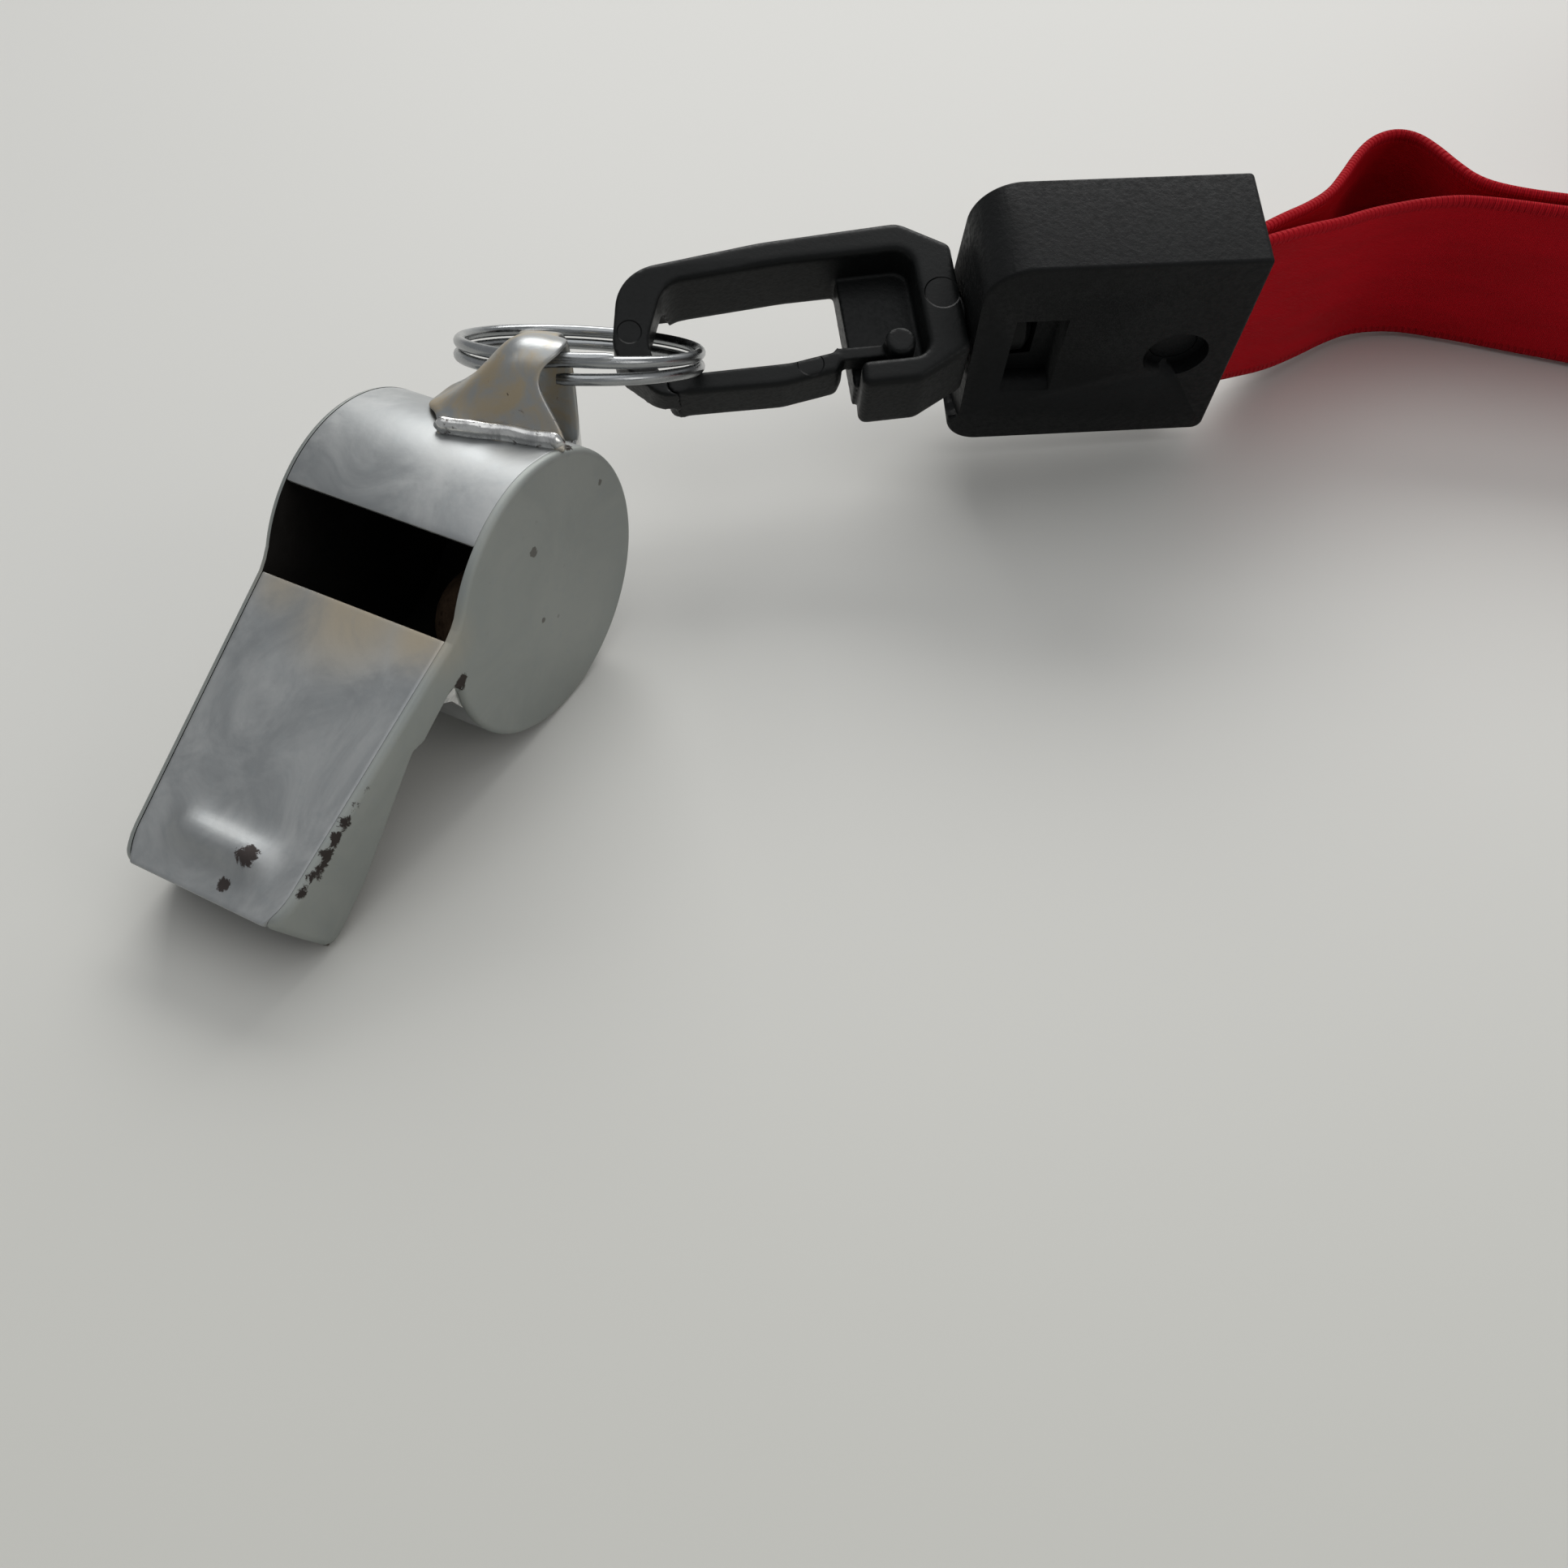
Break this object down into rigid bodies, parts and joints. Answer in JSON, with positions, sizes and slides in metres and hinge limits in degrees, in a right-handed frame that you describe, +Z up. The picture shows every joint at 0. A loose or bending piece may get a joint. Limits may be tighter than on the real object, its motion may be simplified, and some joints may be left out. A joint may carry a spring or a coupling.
{
  "type": "pea whistle with lanyard",
  "caption": "Metal pea whistle with a soldered bail, split ring, plastic snap hook on a swivelling clamp case, and a flat red neck ribbon with its spare length coiled beside it.",
  "frame": {"origin": "on the table, under the middle of the hard parts' bounding box (the ribbon legs and coil are not counted)", "axes": "+Z up from the table; +Y along the whistle from its mouthpiece to the lanyard; +X out of the whistle's right cheek"},
  "size_m": [0.1888, 0.2249, 0.0287],
  "materials": {
    "plated_brass": "worn nickel plate, softly clouded",
    "bail_metal": "worn plate with the brass tint showing",
    "solder": "bright soft solder",
    "cork": "natural cork, fine grain",
    "ring_wire": "drawn spring wire",
    "hook_plastic": "black moulded acetal, satin",
    "case_plastic": "black moulded, fine spark texture",
    "ribbon": "woven polyester ribbon, fine cross ribs"
  },
  "bodies": {
    "lanyard": {"case_front": "case_plastic", "case_back": "case_plastic", "clamp_peg": "case_plastic", "ribbon_end_front": "ribbon", "ribbon_end_back": "ribbon", "ribbon_front_leg": "ribbon", "ribbon_back_leg": "ribbon", "ribbon_coil": "ribbon"},
    "hook": {"hook_body": "hook_plastic", "swivel_stud": "hook_plastic"},
    "gate": {"hook_gate": "hook_plastic"},
    "ring": {"split_ring": "ring_wire"},
    "whistle": {"left_cheek": "plated_brass", "right_cheek": "plated_brass", "barrel_band": "plated_brass", "mouthpiece_top": "plated_brass", "mouthpiece_floor": "plated_brass", "throat_plate": "plated_brass", "throat_solder": "solder", "bail": "bail_metal", "bail_solder_front": "solder", "bail_solder_rear": "solder"},
    "pea": {"cork_pea": "cork"}
  },
  "joints": [
    {"name": "swivel", "type": "hinge", "parent": "lanyard", "child": "hook", "pos_m": [0.00491, 0.02833, 0.01544], "axis": [0.8, 0.6, -0.008], "continuous": true},
    {"name": "gate_flex", "type": "hinge", "parent": "hook", "child": "gate", "pos_m": [-0.01272, 0.00965, 0.01378], "axis": [0.2411, -0.3092, 0.9199], "range_deg": [0, 12], "stiffness_Nm_per_rad": 0.6},
    {"name": "hook_swing", "type": "hinge", "parent": "hook", "child": "ring", "pos_m": [-0.01464, 0.01334, 0.01552], "axis": [-0.8659, 0.3812, -0.3239], "range_deg": [-20, 8]},
    {"name": "ring_swing", "type": "hinge", "parent": "ring", "child": "whistle", "pos_m": [-0.01446, -0.00228, 0.02337], "axis": [0.8559, 0.503, -0.12], "range_deg": [-60, 14]},
    {"name": "pea_orbit", "type": "hinge", "parent": "whistle", "child": "pea", "pos_m": [-0.01935, -0.01517, 0.01175], "axis": [1, 0, 0], "continuous": true}
  ]
}
